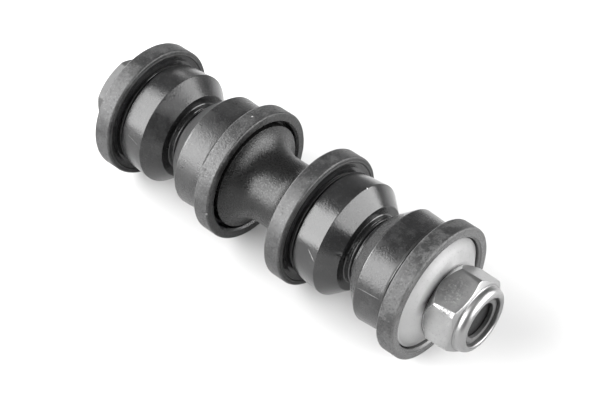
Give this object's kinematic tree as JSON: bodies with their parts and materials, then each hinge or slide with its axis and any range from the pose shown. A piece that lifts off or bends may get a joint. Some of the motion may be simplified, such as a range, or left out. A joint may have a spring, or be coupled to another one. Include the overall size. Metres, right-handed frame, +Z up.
{
  "type": "anti-roll bar drop link",
  "caption": "Bolt-type drop link: a long bolt through dished washers, flanged rubber bushes and a spool-shaped spacer, closed by a lock nut; it joins an anti-roll bar's eye to an arm.",
  "frame": {"origin": "on the bolt axis, in the middle of the eye that the two bushes at the bolt's head clamp", "axes": "+X runs along the bolt from its head to the lock nut, and +Z is up as the link lies in the picture"},
  "size_m": [0.1085, 0.0326, 0.0326],
  "materials": {
    "bolt_zinc": "bright zinc plate",
    "washer_zinc": "satin zinc plate",
    "nut_zinc": "bright zinc plate",
    "ring_nylon": "satin nylon",
    "bush_rubber": "satin moulded rubber",
    "spacer_plastic": "smooth satin moulding"
  },
  "bodies": {
    "bolt": {"bolt": "bolt_zinc"},
    "head_washer": {"head_washer": "washer_zinc"},
    "bush_head_outer": {"bush_head_outer": "bush_rubber"},
    "bush_head_inner": {"bush_head_inner": "bush_rubber"},
    "spacer": {"spacer": "spacer_plastic"},
    "bush_nut_inner": {"bush_nut_inner": "bush_rubber"},
    "bush_nut_outer": {"bush_nut_outer": "bush_rubber"},
    "nut_washer": {"nut_washer": "washer_zinc"},
    "nut": {"nut": "nut_zinc", "nut_insert": "ring_nylon"}
  },
  "joints": [
    {"name": "head_washer_turn", "type": "hinge", "parent": "bolt", "child": "head_washer", "pos_m": [-0.015, 0, 0], "axis": [1, 0, 0], "continuous": true},
    {"name": "bush_head_outer_turn", "type": "hinge", "parent": "bolt", "child": "bush_head_outer", "pos_m": [-0.01, 0, 0], "axis": [1, 0, 0], "continuous": true},
    {"name": "bush_head_inner_turn", "type": "hinge", "parent": "bolt", "child": "bush_head_inner", "pos_m": [0.01, 0, 0], "axis": [1, 0, 0], "continuous": true},
    {"name": "spacer_turn", "type": "hinge", "parent": "bolt", "child": "spacer", "pos_m": [0.0266, 0, 0], "axis": [1, 0, 0], "continuous": true},
    {"name": "bush_nut_inner_turn", "type": "hinge", "parent": "bolt", "child": "bush_nut_inner", "pos_m": [0.043, 0, 0], "axis": [1, 0, 0], "continuous": true},
    {"name": "bush_nut_outer_turn", "type": "hinge", "parent": "bolt", "child": "bush_nut_outer", "pos_m": [0.063, 0, 0], "axis": [1, 0, 0], "continuous": true},
    {"name": "nut_washer_slide", "type": "slide", "parent": "bolt", "child": "nut_washer", "axis": [1, 0, 0], "range_m": [0, 0.0078]},
    {"name": "nut_turn", "type": "hinge", "parent": "nut_washer", "child": "nut", "pos_m": [0.07805, 0, 0], "axis": [1, 0, 0], "range_deg": [0, 1872]}
  ],
  "couplings": [
    {"joint": "nut_washer_slide", "follows": "nut_turn", "m_per_rad": 0.00023873}
  ]
}
